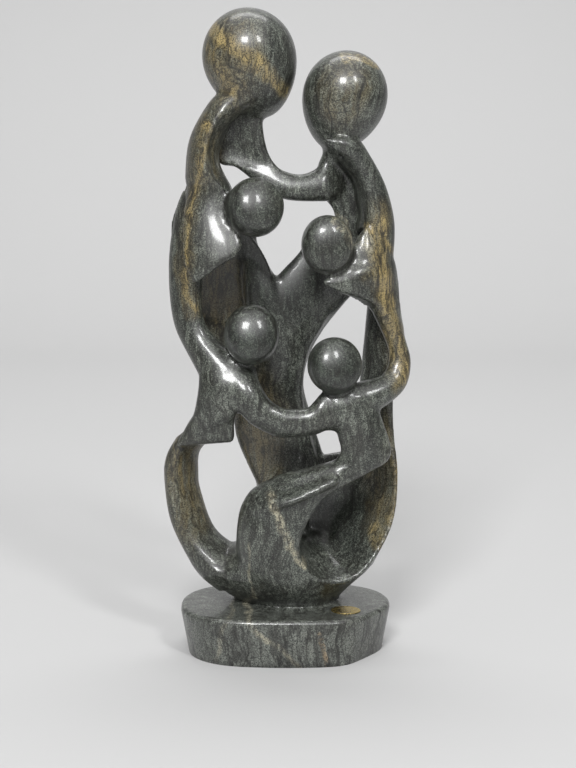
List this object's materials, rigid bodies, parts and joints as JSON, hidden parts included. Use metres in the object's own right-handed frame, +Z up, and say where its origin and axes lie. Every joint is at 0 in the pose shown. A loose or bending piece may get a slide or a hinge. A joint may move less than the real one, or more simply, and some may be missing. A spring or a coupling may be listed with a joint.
{
  "type": "family group sculpture",
  "caption": "Open-form carved stone family group: two egg-headed parents and ball-headed children in one loop of flowing bands, on a low oval slab.",
  "frame": {"origin": "middle of the slab's flat underside", "axes": "+Z up through the group, -Y the front that the children face, +X to the viewer's right"},
  "size_m": [0.2147, 0.1259, 0.5606],
  "materials": {
    "stone": "polished and waxed dark green-grey serpentine with ochre veins",
    "foil": "blank gold foil seal, slightly worn"
  },
  "bodies": {
    "root": {"family_carving": "stone", "foil_seal": "foil"}
  },
  "joints": []
}
